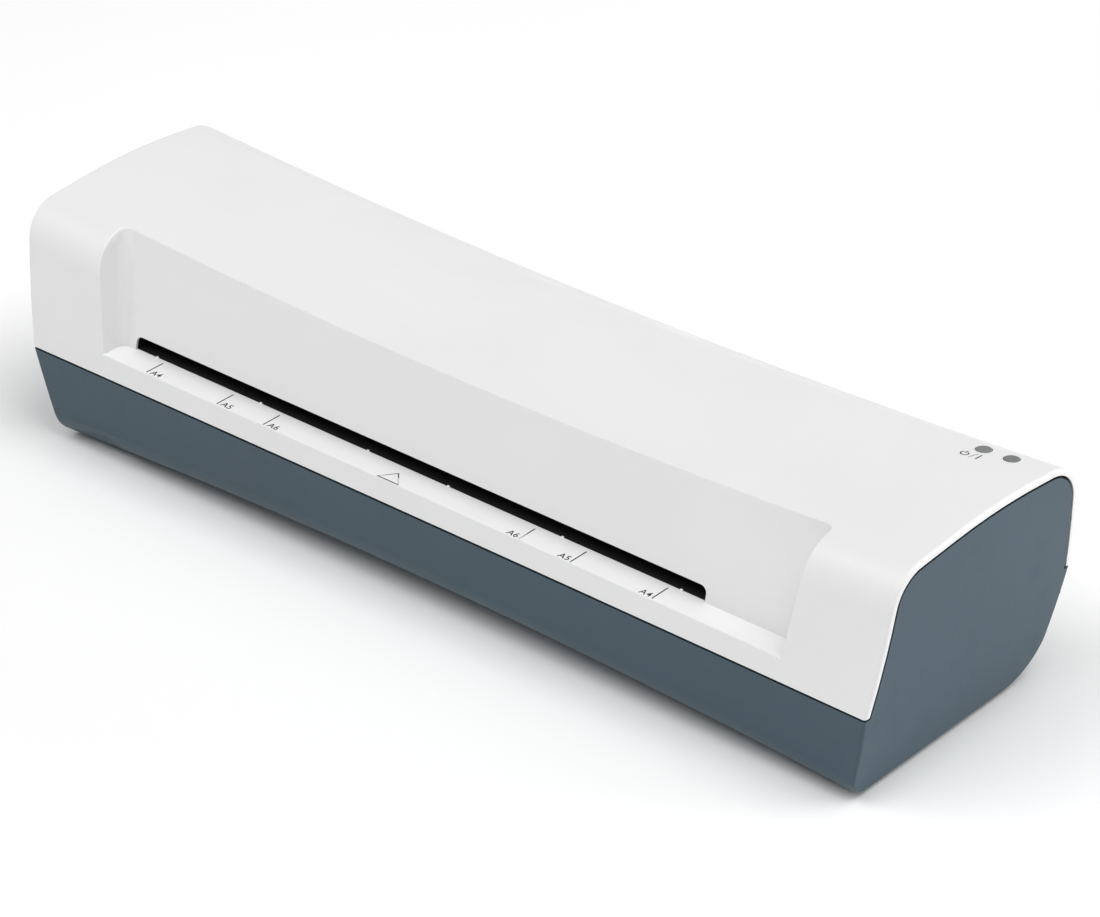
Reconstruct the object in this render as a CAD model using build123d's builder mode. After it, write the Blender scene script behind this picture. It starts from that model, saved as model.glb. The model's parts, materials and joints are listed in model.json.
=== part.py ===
from build123d import *
from math import acos, asin, atan, cos, degrees, pi, radians, sin, sqrt, tan
import os

# Pouch laminator. Millimetres. +X runs along the length to the drive side, -Y is the feed side, +Z is up.
# The origin is on the floor under the middle of the body.

# ---- Body: driving dimensions ----
half_length = 178.8         # half the body's length at the front seam
depth = 105.0               # front to rear, along the seams
foot_stand_out = 1.0        # the feet stand this far below the base
wall = 2.2                  # cover and base walls
seam_gap = 0.9              # shadow gap between cover and base
rim_gap = 0.9               # gap between the cover's rim and the end panels
lip_thick = 1.2             # locating lips inside the seams
lip_inset = 3.3
fit = 0.3                   # clearance between neighbouring pieces
front_seam_z = 36.2
rear_seam_z = 42.7
front_shoulder_z = 84.9     # outline corners at the ends of the body, before rounding
crown_z = 88.8
rear_shoulder_z = 84.6
crown_y = 3.9
front_lean = 6.6            # the cover's front leans back by this much at its shoulder
rear_lean = 5.3
base_front_lean = 3.7       # the base's front leans in by this much at its bottom
base_rear_lean = 5.0
front_shoulder_r = 14.0
rear_shoulder_r = 17.0
crown_r = 250.0
base_front_r = 10.0
base_rear_r = 17.5
top_sag = 5.5               # the top is this much lower at mid-length than at the ends
base_arch = 6.1             # the bottom is this much higher at mid-length than at the ends
end_lean = 0.166            # slope of the end panels at the front seam
end_bulge_r = 420.0
edge_r = 1.0                # soft edges of the cover and the base

# ---- Feed recess, slots and guides ----
shelf_z = 44.2
shelf_depth = 10.9
back_lean = 0.226           # the recess's back wall leans by this much for each mm of height
recess_half = 145.4         # half the recess's length at the shelf
recess_flare = 0.129
recess_corner_r = 3.5
path_x = -15.5              # middle of the paper path
slot_length = 247.8
slot_height = 5.0
slot_corner_r = 2.5
exit_length = 250.0
exit_height = 8.5
guide_wall = 1.5
guide_taper = 8.0           # the entry guide narrows over this depth
exit_opening_height = 5.2
rib_first = 17.5            # first guide rib, on each side of the middle of the path
rib_pitch = 48.3
rib_height = 0.5
rib_width = 0.9

# ---- Rollers, frames and drive ----
frame_half_gap = 131.0      # from the middle of the path to each side frame
frame_thick = 1.5
frame_front_y = -26.0
frame_rear_y = 37.0
frame_foot_z = 13.0
frame_top_z = 78.0
frame_foot_width = 9.0
frame_corner = 6.0
tongue_width = 2.4          # tongues that centre the pressure springs
tongue_length = 3.0
roller_y = 20.0
roller_r = 10.0
nip_gap = 0.3
sleeve_length = 240.0
core_r = 5.0
journal_r = 3.0
shaft_fit = 0.05            # radial running clearance
bush_r = 6.0
bush_flange_r = 8.0
bush_flange = 1.5
bush_stand_out = 0.9
roller_lift = 0.6           # the upper roller rises this far over a pouch
spring_space = 11.0
spring_r = 2.6
spring_wire_r = 0.4
spring_turns = 6
roller_teeth = 20
idler_teeth = 26
pinion_teeth = 12
gear_width = 6.0
pressure_angle = radians(25)
backlash = 0.2
plate_shift = 5.5           # the gear plate reaches this much further forward than the frame
plate_top_z = 72.0
gear_side_gap = 3.0
idler_angle = 215.0         # direction from the lower roller to the idler, from +Y towards +Z
pinion_angle = 110.0        # direction from the idler to the motor's pinion
axle_r = 2.5
motor_r = 24.0
motor_width = 20.0
motor_shaft_r = 3.0
motor_ear_r = 4.0
tie_r = 3.0
clip_r = 5.2
clip_thick = 0.8

# ---- Heating ----
heater_clear = 0.6          # between the heater plates' rear corners and the rollers
heater_depth = 28.0
heater_thick = 4.0
heater_gap = 1.4            # between the two heater plates
heater_length = 252.0
element_depth = 18.0
element_thick = 2.0
element_length = 230.0
holder_grip = 1.5           # the holders reach this far over the heater plates' ends
holder_wall = 2.5
thermostat_r = 8.0
thermostat_height = 7.0
thermostat_x = 60.0         # from the middle of the path
fuse_r = 2.0
fuse_length = 18.0

# ---- Electrics ----
button_x = 158.4
light_x = 168.9
button_y = 32.6
button_r = 2.65
button_travel = 0.5
button_clear = 0.15
button_proud = 0.25
power_board_length = 90.0
power_board_depth = 42.0
board_thick = 1.6
board_stand_z = 14.0
board_post_r = 2.6
capacitor_height = 10.0
control_board_drop = 15.0   # below the cover's top
switch_size = 6.0
switch_height = 4.0
plunger_r = 1.7
plunger_out = 1.0           # the plunger stands out of the switch
led_r = 1.5
led_height = 4.0
control_board_length = 28.0
control_board_width = 18.0
control_board_shift = 4.0   # from the button to the middle of the control board

# ---- Feet, screws and cord inlet ----
foot_r = 5.0
foot_socket = 1.0           # depth of the feet's sockets
foot_x = 157.0
foot_front_y = -33.7
foot_rear_y = 18.4
screw_r = 1.5
head_r = 2.8
head_thick = 1.8
post_r = 4.6
post_top_z = 42.2           # where the base's posts meet the cover's
head_seat_z = 8.0
screw_bite = 12.0
post_places = [(-163.0, -27.0), (-163.0, 28.0), (163.0, -27.0), (164.0, 8.0)]
cord_r = 3.5
gland_r = 6.0
gland_flange_r = 8.0
gland_flange = 1.5
cord_x = -120.0
cord_z = 24.0
vent_length = 26.0
vent_width = 2.4
vent_pitch = 6.0
vent_count = 9
vent_x = 75.0
vent_y = 24.0
screw_short = 6.0           # bite of the frame screws

# ---- Derived sizes ----
front_y = -depth / 2
rear_y = depth / 2
base_z = foot_stand_out
back_y = front_y + shelf_depth
path_z = shelf_z + slot_height / 2
centre_distance = 2 * roller_r + nip_gap
module = centre_distance / roller_teeth
lower_z = path_z - centre_distance / 2
upper_z = path_z + centre_distance / 2
frame_left_x = path_x - frame_half_gap - frame_thick
frame_right_x = path_x + frame_half_gap
gear_x = frame_right_x + frame_thick + gear_side_gap
plate_x = gear_x + gear_width + gear_side_gap / 2 + clip_thick
plate_reach = centre_distance / 2 - heater_gap / 2 - heater_thick
heater_rear_y = roller_y - sqrt((roller_r + heater_clear) ** 2 - plate_reach ** 2)
heater_front_y = heater_rear_y - heater_depth
bulge_angle = atan(end_lean)
bulge_x = half_length - end_bulge_r * cos(bulge_angle)
bulge_z = front_seam_z + end_bulge_r * sin(bulge_angle)
tall = 2 * crown_z          # longer than anything it cuts
frame_width = frame_rear_y - frame_front_y
frame_mid_y = (frame_rear_y + frame_front_y) / 2

os.makedirs("parts", exist_ok=True)


def save(name, part):
    part.label = name
    export_step(part, f"parts/{name}.step")


# ---- Body outlines ----

def arc_radius(half_span, rise):
    """Radius of an arc that rises this much at the middle of its span."""
    return (half_span ** 2 + rise ** 2) / (2 * rise)


def leaning_y(z, foot_y, foot_z, top_y, top_z):
    """Y at height z on the straight line through two points."""
    return foot_y + (top_y - foot_y) * (z - foot_z) / (top_z - foot_z)


def bent_block(corners, axis_z, inset):
    """Block with an outline of (y, z, radius) corners, bent along its length about a far axis."""
    half_angle = asin(1.1 * half_length / abs(axis_z))
    start = Plane((0, 0, axis_z), x_dir=(0, 1, 0), z_dir=(cos(half_angle), 0, sin(half_angle)))
    with BuildPart() as block:
        with BuildSketch(start) as section:
            with BuildLine():
                Polyline(*[(y, z - axis_z) for y, z, radius in corners], close=True)
            make_face()
            for y, z, radius in corners:
                if radius > 0:
                    fillet(section.vertices().sort_by_distance((y, z - axis_z))[0], radius)
            if inset > 0:
                offset(amount=-inset)
        revolve(axis=Axis((0, 0, axis_z), (0, 1, 0)), revolution_arc=2 * degrees(half_angle))
    return block.part


def cover_block(inset=0.0):
    """Solid outline of the cover, sagging towards mid-length."""
    low_z = front_seam_z / 2
    front = (front_y, front_seam_z, front_y + front_lean, front_shoulder_z)
    rear = (rear_y, rear_seam_z, rear_y - rear_lean, rear_shoulder_z)
    corners = [
        (leaning_y(low_z, *front), low_z, 0),
        (front_y + front_lean, front_shoulder_z, front_shoulder_r),
        (crown_y, crown_z, crown_r),
        (rear_y - rear_lean, rear_shoulder_z, rear_shoulder_r),
        (leaning_y(low_z, *rear), low_z, 0),
    ]
    corners = [(y, z - top_sag, radius) for y, z, radius in corners]
    return bent_block(corners, crown_z - top_sag + arc_radius(half_length, top_sag), inset)


def base_block(inset=0.0):
    """Solid outline of the base, arched up towards mid-length."""
    high_z = rear_seam_z + 10
    front = (front_y, front_seam_z, front_y + base_front_lean, base_z)
    rear = (rear_y, rear_seam_z, rear_y - base_rear_lean, base_z)
    corners = [
        (leaning_y(high_z, *front), high_z, 0),
        (front_y + base_front_lean, base_z, base_front_r),
        (rear_y - base_rear_lean, base_z, base_rear_r),
        (leaning_y(high_z, *rear), high_z, 0),
    ]
    corners = [(y, z + base_arch, radius) for y, z, radius in corners]
    return bent_block(corners, base_z + base_arch - arc_radius(half_length, base_arch), inset)


def end_x(z, inset=0.0):
    """Half-length of the body at height z."""
    return bulge_x + sqrt((end_bulge_r - inset) ** 2 - (z - bulge_z) ** 2)


def length_block(inset=0.0):
    """Everything between the two bulged end faces."""
    heights = (-0.2 * crown_z, 0.5 * crown_z, 1.2 * crown_z)
    right = [(end_x(z, inset), z) for z in heights]
    left = [(-x, z) for x, z in right]
    with BuildPart() as block:
        with BuildSketch(Plane.XZ):
            with BuildLine():
                ThreePointArc(*right)
                Line(right[2], left[2])
                ThreePointArc(*left)
                Line(left[0], right[0])
            make_face()
        extrude(amount=depth, both=True)
    return block.part


def under_seams(drop=0.0):
    """Everything below the front and rear seams."""
    with BuildPart() as block:
        with BuildSketch(Plane.YZ):
            with BuildLine():
                Polyline((-depth, -depth), (-depth, front_seam_z - drop), (0, front_seam_z - drop),
                         (0, rear_seam_z - drop), (depth, rear_seam_z - drop), (depth, -depth), close=True)
            make_face()
        extrude(amount=1.2 * half_length, both=True)
    return block.part


def recess_block(grow=0.0):
    """Feed recess, flared upwards and open to the front, or the same grown by a wall."""
    low_z = shelf_z - grow
    high_z = crown_z + wall
    with BuildPart() as block:
        for z in (low_z, high_z):
            half = recess_half + recess_flare * (z - shelf_z) + grow
            rear = back_y + back_lean * (z - shelf_z) + grow
            with BuildSketch(Plane.XY.offset(z)):
                with Locations((0, rear - depth / 2)):
                    Rectangle(2 * half, depth)
        loft(ruled=True)
        uprights = block.edges().filter_by(lambda e: abs(e.tangent_at(0.5).Z) > 0.7)
        fillet(uprights.group_by(Axis.Y)[-1], recess_corner_r + grow)
    return block.part


def box_between(x0, x1, y0, y1, z0, z1):
    """Plain block between two corners."""
    with BuildPart() as block:
        with BuildSketch(Plane.XY.offset(z0)):
            with Locations(((x0 + x1) / 2, (y0 + y1) / 2)):
                Rectangle(x1 - x0, y1 - y0)
        extrude(amount=z1 - z0)
    return block.part


def rod_between(x0, x1, y, z, radius):
    """Plain rod along X."""
    with BuildPart() as rod:
        with BuildSketch(Plane.YZ.offset(x0)):
            with Locations((y, z)):
                Circle(radius)
        extrude(amount=x1 - x0)
    return rod.part


# ---- Cover ----

def on_end_faces(edge):
    """True for an edge that lies on one of the bulged end faces."""
    points = [edge.position_at(share) for share in (0, 0.5, 1)]
    return all(abs(abs(point.X) - end_x(point.Z)) < 0.02 for point in points)


under_skin = cover_block(edge_r / 2)


def on_skin(edge):
    """True for an edge on the cover's outer skin."""
    return edge.length > 2 * edge_r and not under_skin.is_inside(edge.position_at(0.5))


def round_opening(edge):
    """True for an edge where the feed recess meets the cover's outer skin."""
    middle = edge.position_at(0.5)
    reach = recess_half + recess_flare * (middle.Z - shelf_z) + wall / 2
    rear = back_y + back_lean * (middle.Z - shelf_z) + wall
    return abs(middle.X) < reach and shelf_z - fit < middle.Z and middle.Y < rear


def top_plane(x):
    """Plane lying on the cover's sloping top, in the button's row."""
    slope_back = (crown_z - rear_shoulder_z) / (rear_y - rear_lean - crown_y)
    slope_side = x / arc_radius(half_length, top_sag)
    with BuildPart() as probe:
        add(cover_block())
        add(box_between(x, x + 0.1, button_y, button_y + 0.1, path_z, tall), mode=Mode.INTERSECT)
    top_z = probe.part.bounding_box().max.Z
    return Plane((x, button_y, top_z), x_dir=(1, 0, slope_side), z_dir=(-slope_side, slope_back, 1))


button_plane = top_plane(button_x)
light_plane = Plane(button_plane.from_local_coords(Vector((light_x - button_x) / button_plane.x_dir.X, 0, 0)),
                    x_dir=button_plane.x_dir, z_dir=button_plane.z_dir)
control_posts = [(-7.0, 6.0), (15.5, -6.0)]
slot_box = (path_x - slot_length / 2, path_x + slot_length / 2)
exit_box = (path_x - exit_length / 2, path_x + exit_length / 2)
guide_rim = 4.0             # the entry guide reaches this far past the slot
slot_skin = 0.9             # the recess's wall is this thin around the slot
guide_low_z = shelf_z - guide_rim
guide_high_z = shelf_z + slot_height + guide_rim
exit_top_z = rear_seam_z + exit_height
rib_places = [path_x + side * (rib_first + step * rib_pitch) for side in (-1, 1) for step in range(3)]

with BuildPart() as hollow:
    add(cover_block(wall))
    add(recess_block(wall), mode=Mode.SUBTRACT)

with BuildPart() as top_cover:
    add(cover_block())
    add(length_block(), mode=Mode.INTERSECT)
    add(recess_block(), mode=Mode.SUBTRACT)
    add(under_seams(), mode=Mode.SUBTRACT)
    fillet(top_cover.edges().filter_by(on_skin).filter_by(on_end_faces), edge_r)
    fillet(top_cover.edges().filter_by(on_skin).filter_by(round_opening), edge_r / 2)
    add(hollow.part, mode=Mode.SUBTRACT)
    for x, y in post_places:
        with BuildPart(mode=Mode.PRIVATE) as post:
            add(cover_block(wall / 2))
            with BuildSketch(Plane.XY.offset(post_top_z)) as section:
                with Locations((x, y)):
                    Circle(post_r - fit)
            extrude(amount=tall, mode=Mode.INTERSECT)
        add(post.part)
        with BuildSketch(Plane.XY.offset(post_top_z)):
            with Locations((x, y)):
                Circle(screw_r)
        extrude(amount=screw_bite + 1, mode=Mode.SUBTRACT)
    # entry slot, thinned behind so that the guide's lips hide behind it
    with BuildPart(mode=Mode.PRIVATE) as nest:
        add(box_between(slot_box[0] - guide_rim - fit, slot_box[1] + guide_rim + fit,
                        back_y + slot_skin, back_y + recess_corner_r + wall,
                        guide_low_z - fit, guide_high_z + fit))
        add(recess_block(slot_skin), mode=Mode.SUBTRACT)
    add(nest.part, mode=Mode.SUBTRACT)
    with BuildSketch(Plane.XZ.offset(-back_y + 1)) as slot:
        with Locations((path_x, path_z)):
            Rectangle(slot_length, slot_height)
        fillet(slot.vertices().group_by(Axis.Y)[-1], slot_corner_r)
    extrude(amount=-recess_corner_r - wall, mode=Mode.SUBTRACT)
    for x in rib_places:
        with BuildSketch(Plane.YZ.offset(x - rib_width / 2)):
            with BuildLine():
                Polyline((back_y - 1, shelf_z - wall), (back_y + 0.2, shelf_z),
                         (back_y + slot_skin, shelf_z + rib_height),
                         (back_y + slot_skin, shelf_z - wall), close=True)
            make_face()
        extrude(amount=rib_width)
    # rear exit notch, open downwards
    with BuildSketch(Plane.XZ.offset(-rear_y / 2)) as notch:
        with Locations((path_x, exit_top_z - exit_height)):
            Rectangle(exit_length, 2 * exit_height)
        fillet(notch.vertices().group_by(Axis.Y)[-1], slot_corner_r)
    extrude(amount=-rear_y, mode=Mode.SUBTRACT)
    # button and light holes, and the posts that carry the control board
    for plane in (button_plane, light_plane):
        with BuildSketch(plane.offset(wall)):
            Circle(button_r + button_clear)
        extrude(amount=-3 * wall, mode=Mode.SUBTRACT)
    with BuildPart(mode=Mode.PRIVATE) as stand_offs:
        add(cover_block(wall / 2))
        with BuildSketch(button_plane.offset(-control_board_drop)):
            with Locations(*control_posts):
                Circle(board_post_r)
                Circle(screw_r / 2, mode=Mode.SUBTRACT)
        extrude(amount=2 * control_board_drop, mode=Mode.INTERSECT)
    add(stand_offs.part)
save("top_cover", top_cover.part)


# ---- Base ----

def raised(x, z):
    """Height z of the base's outline, at the ends, moved to place x along its arch."""
    return z + base_arch - x ** 2 / (2 * arc_radius(half_length, base_arch))


frame_boss_places = [(x, y)
                     for x in (frame_left_x + frame_thick + frame_foot_width / 2,
                               frame_right_x - frame_foot_width / 2)
                     for y in (frame_front_y + 7, frame_rear_y - 7)]
board_mid = (path_x - power_board_length / 2, frame_front_y + power_board_depth / 2 - 10)
board_post_places = [(board_mid[0] + sx * (power_board_length / 2 - 4),
                      board_mid[1] + sy * (power_board_depth / 2 - 4))
                     for sx in (-1, 1) for sy in (-1, 1)]
foot_places = [(-foot_x, foot_front_y), (foot_x, foot_front_y), (-foot_x, foot_rear_y), (foot_x, foot_rear_y)]
foot_top_z = raised(foot_x, base_z) + foot_socket
gland_lean = atan(base_rear_lean / (rear_seam_z - base_z))
gland_y = leaning_y(cord_z - (raised(cord_x, 0)), rear_y - base_rear_lean, base_z, rear_y, rear_seam_z)
gland_grip = wall + 3 * fit
gland_plane = Plane((cord_x, gland_y + fit, cord_z), x_dir=(1, 0, 0),
                    z_dir=(0, cos(gland_lean), -sin(gland_lean)))
lip_half = half_length - 4 * wall

with BuildPart() as base_housing:
    add(base_block())
    add(length_block(), mode=Mode.INTERSECT)
    add(under_seams(seam_gap), mode=Mode.INTERSECT)
    end_edges = base_housing.edges().filter_by(on_end_faces)
    fillet(end_edges.filter_by(lambda e: e.center().Z < front_seam_z - 2), edge_r)
    with BuildPart(mode=Mode.PRIVATE) as cavity:
        add(base_block(wall))
        add(length_block(wall), mode=Mode.INTERSECT)
    add(cavity.part, mode=Mode.SUBTRACT)
    # end panels inside the cover's rim, with a rebate behind the rim gap
    for inset, outer, inner in ((wall + rim_gap, 0.0, wall), (wall + fit, wall, 2 * wall)):
        with BuildPart(mode=Mode.PRIVATE) as panel:
            add(cover_block(inset))
            add(length_block(outer), mode=Mode.INTERSECT)
            add(length_block(inner), mode=Mode.SUBTRACT)
            add(box_between(-tall * 2, tall * 2, -depth, depth, front_seam_z - 2 * wall, tall),
                mode=Mode.INTERSECT)
        add(panel.part)
    # locating lips inside the front and rear seams
    for side, seam_z in ((-1, front_seam_z), (1, rear_seam_z)):
        skin, face, back = [side * (depth / 2 - step) for step in (wall / 2, lip_inset, lip_inset + lip_thick)]
        add(box_between(-lip_half, lip_half, min(skin, back), max(skin, back),
                        seam_z - 2 * wall, seam_z - seam_gap - fit))
        add(box_between(-lip_half, lip_half, min(face, back), max(face, back),
                        seam_z - 2 * wall, seam_z + wall))
    add(box_between(exit_box[0] - fit, exit_box[1] + fit, frame_rear_y, tall, rear_seam_z - seam_gap, tall),
        mode=Mode.SUBTRACT)
    # posts for the housing screws, bosses for the frames and stand-offs for the power board
    for places, radius, top_z in ((post_places, post_r, post_top_z),
                                  (frame_boss_places, post_r - fit, frame_foot_z),
                                  (board_post_places, board_post_r, board_stand_z)):
        for x, y in places:
            root_z = raised(x, base_z) + wall / 2
            with BuildSketch(Plane.XY.offset(root_z)):
                with Locations((x, y)):
                    Circle(radius)
            extrude(amount=top_z - root_z)
    # screw holes
    with BuildSketch(Plane.XY):
        with Locations(*post_places):
            Circle(head_r + fit)
    extrude(amount=head_seat_z, mode=Mode.SUBTRACT)
    for top_z, places, bite, radius in ((post_top_z, post_places, post_top_z - head_seat_z, screw_r + fit / 2),
                                        (frame_foot_z, frame_boss_places, screw_short, screw_r),
                                        (board_stand_z, board_post_places, screw_short / 2, screw_r / 2)):
        with BuildSketch(Plane.XY.offset(top_z)):
            with Locations(*places):
                Circle(radius)
        extrude(amount=-bite, mode=Mode.SUBTRACT)
    # foot sockets, cord hole and bottom vents
    with BuildSketch(Plane.XY):
        with Locations(*foot_places):
            Circle(foot_r + fit / 3)
    extrude(amount=foot_top_z, mode=Mode.SUBTRACT)
    with BuildSketch(gland_plane.offset(wall)):
        Circle(gland_r)
    extrude(amount=-3 * wall, mode=Mode.SUBTRACT)
    with BuildSketch(Plane.XY):
        for side in (-1, 1):
            with Locations((side * vent_x, vent_y)):
                with GridLocations(vent_pitch, 0, vent_count, 1):
                    SlotOverall(vent_length, vent_width, rotation=90)
    extrude(amount=head_seat_z + base_arch, mode=Mode.SUBTRACT)
save("base_housing", base_housing.part)


# ---- Guides ----

def loft_box(x_half0, z0, y0, x_half1, z1, y1):
    """Straight-sided passage along Y between two rectangles given as (low, high) heights."""
    with BuildPart() as passage:
        for x_half, (low, high), y in ((x_half0, z0, y0), (x_half1, z1, y1)):
            with BuildSketch(Plane.XZ.offset(-y)):
                with Locations((path_x, (low + high) / 2)):
                    Rectangle(2 * x_half, high - low)
        loft(ruled=True)
    return passage.part


slot_z = (shelf_z, shelf_z + slot_height)
nip_z = (path_z - heater_gap / 2 - guide_wall / 3, path_z + heater_gap / 2 + guide_wall / 3)
guide_rear_y = heater_front_y - fit
guide_taper_y = guide_rear_y - guide_taper
with BuildPart() as entry_guide:
    add(box_between(slot_box[0] - guide_rim, slot_box[1] + guide_rim,
                    back_y + slot_skin + fit / 2, guide_rear_y, guide_low_z, guide_high_z))
    add(recess_block(slot_skin + fit / 2), mode=Mode.SUBTRACT)
    add(loft_box(slot_length / 2, slot_z, back_y, slot_length / 2, slot_z, guide_taper_y), mode=Mode.SUBTRACT)
    add(loft_box(slot_length / 2, slot_z, guide_taper_y, slot_length / 2, nip_z, guide_rear_y),
        mode=Mode.SUBTRACT)
save("entry_guide", entry_guide.part)

exit_front_y = roller_y + roller_r + 2 * fit
exit_low_z = rear_seam_z - seam_gap + fit
exit_opening = exit_length / 2 - fit - guide_wall
with BuildPart() as exit_guide:
    add(box_between(exit_box[0] + fit, exit_box[1] - fit, exit_front_y, tall, exit_low_z, exit_top_z - fit))
    fillet(exit_guide.edges().filter_by(Axis.Y).group_by(Axis.Z)[-1], slot_corner_r)
    add(cover_block(fit), mode=Mode.INTERSECT)
    with BuildSketch(Plane.XZ.offset(-exit_front_y)):
        with Locations((path_x, path_z)):
            Rectangle(2 * exit_opening, exit_opening_height)
    extrude(amount=-tall, mode=Mode.SUBTRACT)
save("exit_guide", exit_guide.part)


# ---- Side frames, tie rods and their screws ----

def screw(plane, length):
    """Pan-head screw with a cross slot, its head sitting on the plane."""
    with BuildPart() as fastener:
        with BuildSketch(plane):
            Circle(head_r)
        extrude(amount=head_thick)
        fillet(fastener.faces().sort_by(Axis(plane.origin, plane.z_dir))[-1].edges(), head_thick / 3)
        with BuildSketch(plane.offset(head_thick)):
            Rectangle(head_r, head_r / 4)
            Rectangle(head_r / 4, head_r)
        extrude(amount=-head_thick / 2, mode=Mode.SUBTRACT)
        with BuildSketch(plane):
            Circle(screw_r)
        extrude(amount=-length)
    return fastener.part


def group(name, pieces):
    """Save identical pieces as one node of separate solids."""
    with BuildPart() as bundle:
        for piece in pieces:
            add(piece)
    save(name, bundle.part)
    return bundle.part


def tube(x0, x1, y, z, outer, inner):
    """Round sleeve along X."""
    with BuildPart() as sleeve:
        with BuildSketch(Plane.YZ.offset(x0)):
            with Locations((y, z)):
                Circle(outer)
                Circle(inner, mode=Mode.SUBTRACT)
        extrude(amount=x1 - x0)
    return sleeve.part


tie_places = [(-20.0, 30.0), (24.0, 19.0), (-8.0, 72.0)]
window_low_z = upper_z - bush_r - shaft_fit
window_high_z = upper_z + bush_r + spring_space
window_half = bush_r + shaft_fit


def side_frame(name, x0, outward):
    """Steel side frame with a bent foot, a round lower bearing hole and a sprung upper window."""
    x1 = x0 + frame_thick
    foot_x0 = x0 - frame_foot_width if outward > 0 else x1
    with BuildPart() as frame:
        with BuildSketch(Plane.YZ.offset(x0)) as sheet:
            with Locations((frame_mid_y, (frame_foot_z + frame_top_z) / 2)):
                Rectangle(frame_width, frame_top_z - frame_foot_z)
            chamfer(sheet.vertices().group_by(Axis.Y)[-1], frame_corner)
            with Locations((roller_y, lower_z)):
                Circle(bush_r, mode=Mode.SUBTRACT)
            with Locations((roller_y, (window_low_z + window_high_z) / 2)):
                Rectangle(2 * window_half, window_high_z - window_low_z, mode=Mode.SUBTRACT)
            with Locations((roller_y, window_high_z - tongue_length / 2)):
                Rectangle(tongue_width, tongue_length)
            with Locations(*tie_places):
                Circle(screw_r, mode=Mode.SUBTRACT)
        extrude(amount=frame_thick)
        add(box_between(foot_x0, foot_x0 + frame_foot_width, frame_front_y, frame_rear_y,
                        frame_foot_z, frame_foot_z + frame_thick))
        with BuildSketch(Plane.XY.offset(frame_foot_z)):
            with Locations(*[(x, y) for x, y in frame_boss_places if (x > path_x) == (outward > 0)]):
                Circle(screw_r + shaft_fit)
        extrude(amount=frame_thick, mode=Mode.SUBTRACT)
    save(name, frame.part)


side_frame("left_side_frame", frame_left_x, -1)
side_frame("right_side_frame", frame_right_x, 1)
for name, (y, z) in zip(("front_tie_rod", "rear_tie_rod", "upper_tie_rod"), tie_places):
    with BuildPart() as rod:
        add(rod_between(frame_left_x + frame_thick, frame_right_x, y, z, tie_r))
        add(rod_between(frame_left_x, frame_left_x + frame_thick + screw_short, y, z, screw_r),
            mode=Mode.SUBTRACT)
        add(rod_between(frame_right_x - screw_short, frame_right_x, y, z, screw_r), mode=Mode.SUBTRACT)
    save(name, rod.part)
left_face = Plane(origin=(frame_left_x, 0, 0), x_dir=(0, 1, 0), z_dir=(-1, 0, 0))
right_face = Plane(origin=(frame_right_x + frame_thick, 0, 0), x_dir=(0, 1, 0), z_dir=(1, 0, 0))
tie_screws = [screw(Plane(origin=(face.origin.X, y, z), x_dir=(0, 1, 0), z_dir=face.z_dir),
                    screw_short + frame_thick)
              for face in (left_face, right_face) for y, z in tie_places]
group("tie_rod_screws", tie_screws)
group("frame_screws", [screw(Plane((x, y, frame_foot_z + frame_thick)), screw_short + frame_thick)
                       for x, y in frame_boss_places])
group("housing_screws", [screw(Plane((x, y, head_seat_z), x_dir=(1, 0, 0), z_dir=(0, 0, -1)),
                               post_top_z + screw_bite - head_seat_z) for x, y in post_places])


# ---- Rollers ----
sleeve_x0 = path_x - sleeve_length / 2
core_half = frame_half_gap - bush_flange - 2 * fit
gear_end_x = gear_x + gear_width


def roller_set(which, z):
    """Steel shaft and silicone sleeve of one roller, with its two clips."""
    left_end = frame_left_x - bush_stand_out - fit
    with BuildPart() as shaft:
        add(rod_between(left_end - 2 * clip_thick, gear_end_x + 2 * clip_thick, roller_y, z, journal_r))
        add(rod_between(path_x - core_half, path_x + core_half, roller_y, z, core_r))
    save(f"{which}_roller_shaft", shaft.part)
    with BuildPart() as sleeve:
        add(tube(sleeve_x0, sleeve_x0 + sleeve_length, roller_y, z, roller_r, core_r))
        rims = sleeve.edges().filter_by(GeomType.CIRCLE).filter_by(lambda e: e.radius > core_r + fit)
        fillet(rims, edge_r / 2)
    save(f"{which}_roller_sleeve", sleeve.part)
    group(f"{which}_roller_clips", [tube(x, x + clip_thick, roller_y, z, clip_r, journal_r)
                                    for x in (left_end - clip_thick, gear_end_x)])


def bush(name, z, frame_x0, inward, square):
    """Flanged bearing bush, round in the lower hole or square in the upper window."""
    inner_x = frame_x0 + (frame_thick if inward > 0 else 0)
    flange = sorted((inner_x, inner_x + inward * bush_flange))
    barrel = sorted((inner_x, inner_x - inward * (frame_thick + bush_stand_out)))
    with BuildPart() as bearing:
        if square:
            add(box_between(*flange, roller_y - bush_flange_r, roller_y + bush_flange_r,
                            z - bush_flange_r, z + bush_r))
            add(box_between(*barrel, roller_y - bush_r, roller_y + bush_r, z - bush_r, z + bush_r))
            with BuildSketch(Plane.XY.offset(z + bush_r / 2 + journal_r / 2)):
                with Locations((frame_x0 + frame_thick / 2, roller_y)):
                    Circle(spring_r - spring_wire_r - fit)
            extrude(amount=bush_r / 2 - journal_r / 2 + tongue_length)
        else:
            add(rod_between(*flange, roller_y, z, bush_flange_r))
            add(rod_between(*barrel, roller_y, z, bush_r))
        add(rod_between(min(flange + barrel), max(flange + barrel), roller_y, z, journal_r + shaft_fit),
            mode=Mode.SUBTRACT)
    save(name, bearing.part)


def coil_spring(name, plane, length, radius, wire_r, turns):
    """Open coil compression spring standing on the plane."""
    with BuildPart() as spring:
        with BuildLine():
            coil = Helix((length - 2 * wire_r) / turns, length - 2 * wire_r, radius)
        with BuildSketch(Plane(coil @ 0, z_dir=coil % 0)):
            Circle(wire_r)
        sweep(path=coil, is_frenet=True)
    save(name, plane.location * spring.part)


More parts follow.
